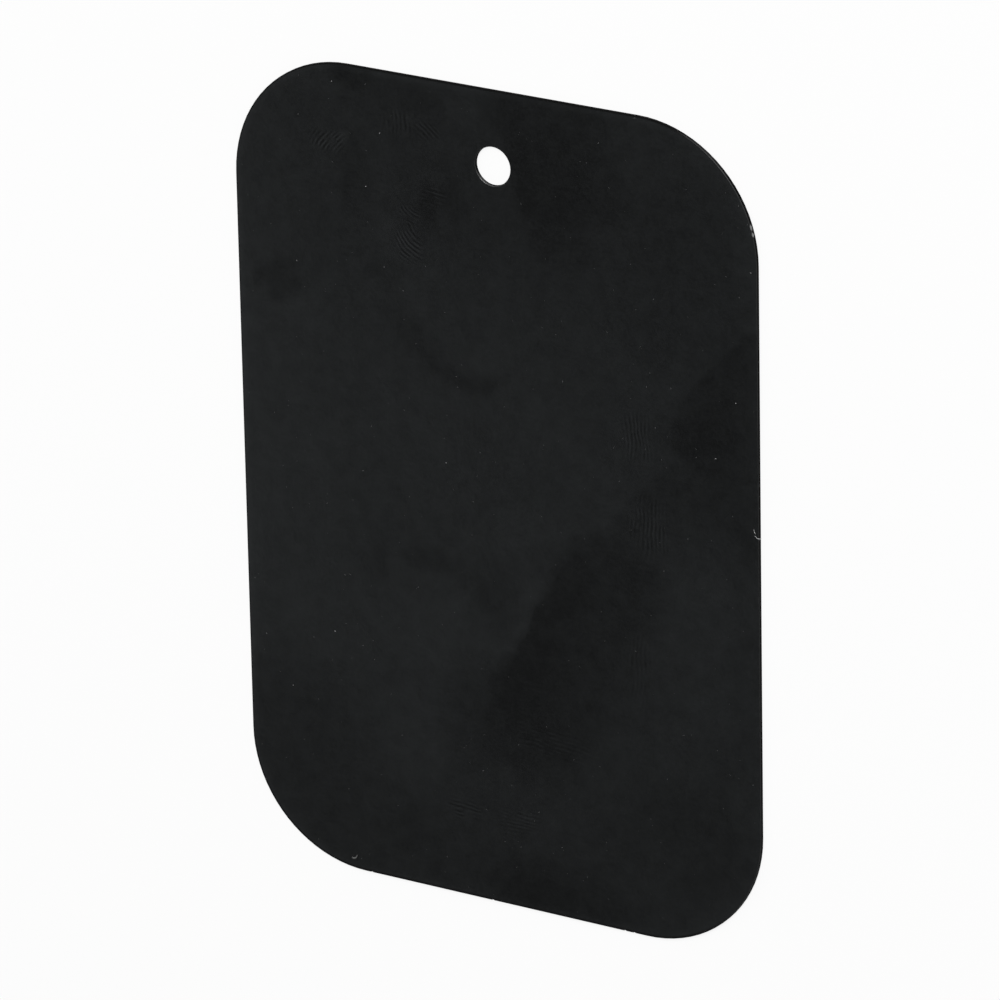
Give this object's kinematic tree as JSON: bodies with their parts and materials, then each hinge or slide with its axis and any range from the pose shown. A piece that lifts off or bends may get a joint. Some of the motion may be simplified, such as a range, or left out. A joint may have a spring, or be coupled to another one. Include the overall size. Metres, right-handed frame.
{
  "type": "magnetic phone holder plate",
  "caption": "Thin black-coated steel plate with large rounded corners and a small hanging hole near one end, gripped by a magnetic phone holder.",
  "frame": {"origin": "on the back face, under the middle of the plate's outline", "axes": "+X across the plate, +Y along it towards the end with the hole, +Z out of the front face"},
  "size_m": [0.045, 0.065, 0.0003],
  "materials": {
    "black_coat": "satin"
  },
  "bodies": {
    "root": {"holder_plate": "black_coat"}
  },
  "joints": []
}
